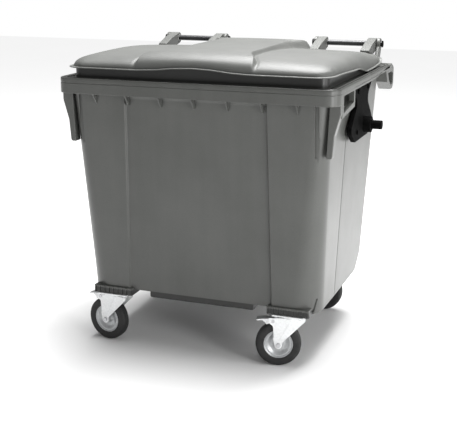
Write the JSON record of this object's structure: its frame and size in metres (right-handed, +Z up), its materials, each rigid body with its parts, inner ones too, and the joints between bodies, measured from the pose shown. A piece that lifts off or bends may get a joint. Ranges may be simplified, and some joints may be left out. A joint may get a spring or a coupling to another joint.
{
  "type": "four-wheeled waste container",
  "caption": "Large wheeled waste container: tapered plastic tub, flat hinged lid, comb lip, side trunnions and swivel casters, front ones braked.",
  "frame": {"origin": "on the ground, under the middle of the overall box", "axes": "+X to the container's right, -Y its front with the comb lip, +Z up"},
  "size_m": [1.377, 1.11, 1.345],
  "materials": {
    "tub_plastic": "moulded grey polyethylene, fine satin texture",
    "lid_plastic": "moulded grey polyethylene, smoother satin",
    "black_plastic": "black moulded plastic",
    "black_steel": "black coated steel pin",
    "rubber": "solid black rubber",
    "tube_steel": "galvanised tube",
    "wheel_steel": "light zinc-coated disc",
    "bush_plastic": "pale plain-bearing plastic",
    "pedal_steel": "zinc-coated pressed steel",
    "bolt_steel": "zinc-plated fasteners",
    "zinc_steel": "bright zinc-coated pressed steel"
  },
  "bodies": {
    "container": {"tub": "tub_plastic", "trunnion_bracket_left": "black_plastic", "trunnion_pin_left": "black_steel", "bracket_bolts_left": "bolt_steel", "hinge_tube_left": "tube_steel", "tube_caps_left": "black_plastic", "trunnion_bracket_right": "black_plastic", "trunnion_pin_right": "black_steel", "bracket_bolts_right": "bolt_steel", "hinge_tube_right": "tube_steel", "tube_caps_right": "black_plastic", "caster_bolts": "bolt_steel", "caster_plate_front_left": "zinc_steel", "swivel_bearing_front_left": "zinc_steel", "kingpin_front_left": "bolt_steel", "caster_plate_front_right": "zinc_steel", "swivel_bearing_front_right": "zinc_steel", "kingpin_front_right": "bolt_steel", "caster_plate_rear_left": "zinc_steel", "swivel_bearing_rear_left": "zinc_steel", "kingpin_rear_left": "bolt_steel", "caster_plate_rear_right": "zinc_steel", "swivel_bearing_rear_right": "zinc_steel", "kingpin_rear_right": "bolt_steel"},
    "lid": {"lid": "lid_plastic", "hinge_bushes_left": "bush_plastic", "hinge_bushes_right": "bush_plastic"},
    "drain_plug": {"drain_plug": "black_plastic", "drain_seal": "rubber"},
    "caster_front_left": {"fork_front_left": "zinc_steel", "wheel_axle_front_left": "bolt_steel", "brake_pin_front_left": "bolt_steel"},
    "wheel_front_left": {"wheel_centre_front_left": "wheel_steel", "wheel_bush_front_left": "bush_plastic", "tyre_front_left": "rubber"},
    "pedal_front_left": {"brake_pedal_front_left": "pedal_steel"},
    "caster_front_right": {"fork_front_right": "zinc_steel", "wheel_axle_front_right": "bolt_steel", "brake_pin_front_right": "bolt_steel"},
    "wheel_front_right": {"wheel_centre_front_right": "wheel_steel", "wheel_bush_front_right": "bush_plastic", "tyre_front_right": "rubber"},
    "pedal_front_right": {"brake_pedal_front_right": "pedal_steel"},
    "caster_rear_left": {"fork_rear_left": "zinc_steel", "wheel_axle_rear_left": "bolt_steel"},
    "wheel_rear_left": {"wheel_centre_rear_left": "wheel_steel", "wheel_bush_rear_left": "bush_plastic", "tyre_rear_left": "rubber"},
    "caster_rear_right": {"fork_rear_right": "zinc_steel", "wheel_axle_rear_right": "bolt_steel"},
    "wheel_rear_right": {"wheel_centre_rear_right": "wheel_steel", "wheel_bush_rear_right": "bush_plastic", "tyre_rear_right": "rubber"}
  },
  "joints": [
    {"name": "lid_hinge", "type": "hinge", "parent": "container", "child": "lid", "pos_m": [0, 0.522, 1.317], "axis": [-1, 0, 0], "range_deg": [0, 255]},
    {"name": "drain_pull", "type": "slide", "parent": "container", "child": "drain_plug", "axis": [0, 1, 0], "range_m": [0, 0.06]},
    {"name": "swivel_front_left", "type": "hinge", "parent": "container", "child": "caster_front_left", "pos_m": [-0.417, -0.445, 0.238], "axis": [0, 0, 1], "continuous": true},
    {"name": "wheel_spin_front_left", "type": "hinge", "parent": "caster_front_left", "child": "wheel_front_left", "pos_m": [-0.46624, -0.43632, 0.1], "axis": [-0.1736, -0.9848, 0], "continuous": true},
    {"name": "brake_front_left", "type": "hinge", "parent": "caster_front_left", "child": "pedal_front_left", "pos_m": [-0.48988, -0.43215, 0.21], "axis": [-0.1736, -0.9848, 0], "range_deg": [0, 8]},
    {"name": "swivel_front_right", "type": "hinge", "parent": "container", "child": "caster_front_right", "pos_m": [0.417, -0.445, 0.238], "axis": [0, 0, 1], "continuous": true},
    {"name": "wheel_spin_front_right", "type": "hinge", "parent": "caster_front_right", "child": "wheel_front_right", "pos_m": [0.36894, -0.45878, 0.1], "axis": [0.2756, -0.9613, 0], "continuous": true},
    {"name": "brake_front_right", "type": "hinge", "parent": "caster_front_right", "child": "pedal_front_right", "pos_m": [0.34587, -0.4654, 0.21], "axis": [0.2756, -0.9613, 0], "range_deg": [0, 8]},
    {"name": "swivel_rear_left", "type": "hinge", "parent": "container", "child": "caster_rear_left", "pos_m": [-0.417, 0.29, 0.238], "axis": [0, 0, 1], "continuous": true},
    {"name": "wheel_spin_rear_left", "type": "hinge", "parent": "caster_rear_left", "child": "wheel_rear_left", "pos_m": [-0.46651, 0.29696, 0.1], "axis": [-0.1392, -0.9903, 0], "continuous": true},
    {"name": "swivel_rear_right", "type": "hinge", "parent": "container", "child": "caster_rear_right", "pos_m": [0.417, 0.29, 0.238], "axis": [0, 0, 1], "continuous": true},
    {"name": "wheel_spin_rear_right", "type": "hinge", "parent": "caster_rear_right", "child": "wheel_rear_right", "pos_m": [0.36712, 0.29349, 0.1], "axis": [-0.0698, -0.9976, 0], "continuous": true}
  ]
}
